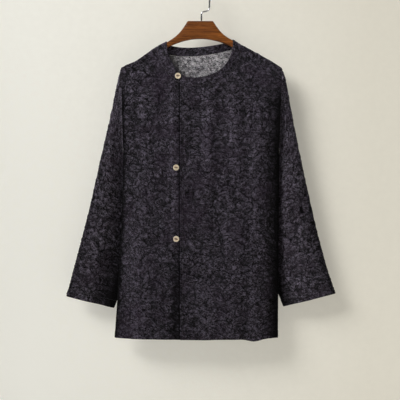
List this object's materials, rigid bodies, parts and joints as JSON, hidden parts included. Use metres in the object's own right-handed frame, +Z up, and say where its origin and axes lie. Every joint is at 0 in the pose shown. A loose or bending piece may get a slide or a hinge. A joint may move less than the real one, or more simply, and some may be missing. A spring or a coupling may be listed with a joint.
{
  "type": "collarless wrap-front shirt on a wooden hanger",
  "caption": "Long-sleeved collarless jacquard shirt with a wrapped, buttoned front, hung flat on a wooden hanger with a wire hook.",
  "frame": {"origin": "the underside of the hook's top, where the hook rests on a rail or wall hook", "axes": "+Z up, the garment's front faces -Y, the wearer's left is at +X"},
  "size_m": [0.7007, 0.088, 0.9256],
  "materials": {
    "cloth": "crinkled, embossed jacquard, charcoal with a purple cast, matt with a faint sheen",
    "cord": "round corded loop, dark and matt",
    "button": "cream, turned, with a raised rim and a brown dished middle",
    "wood": "warm brown, clear gloss varnish",
    "chrome": "bright plated wire"
  },
  "bodies": {
    "root": {"back_panel": "cloth", "front_left": "cloth", "front_right": "cloth", "sleeve_left": "cloth", "sleeve_right": "cloth", "neckband": "cloth", "button_1": "button", "button_2": "button", "button_3": "button", "loop_1": "cord", "loop_2": "cord", "loop_3": "cord", "hanger_body": "wood", "hanger_hook": "chrome"}
  },
  "joints": []
}
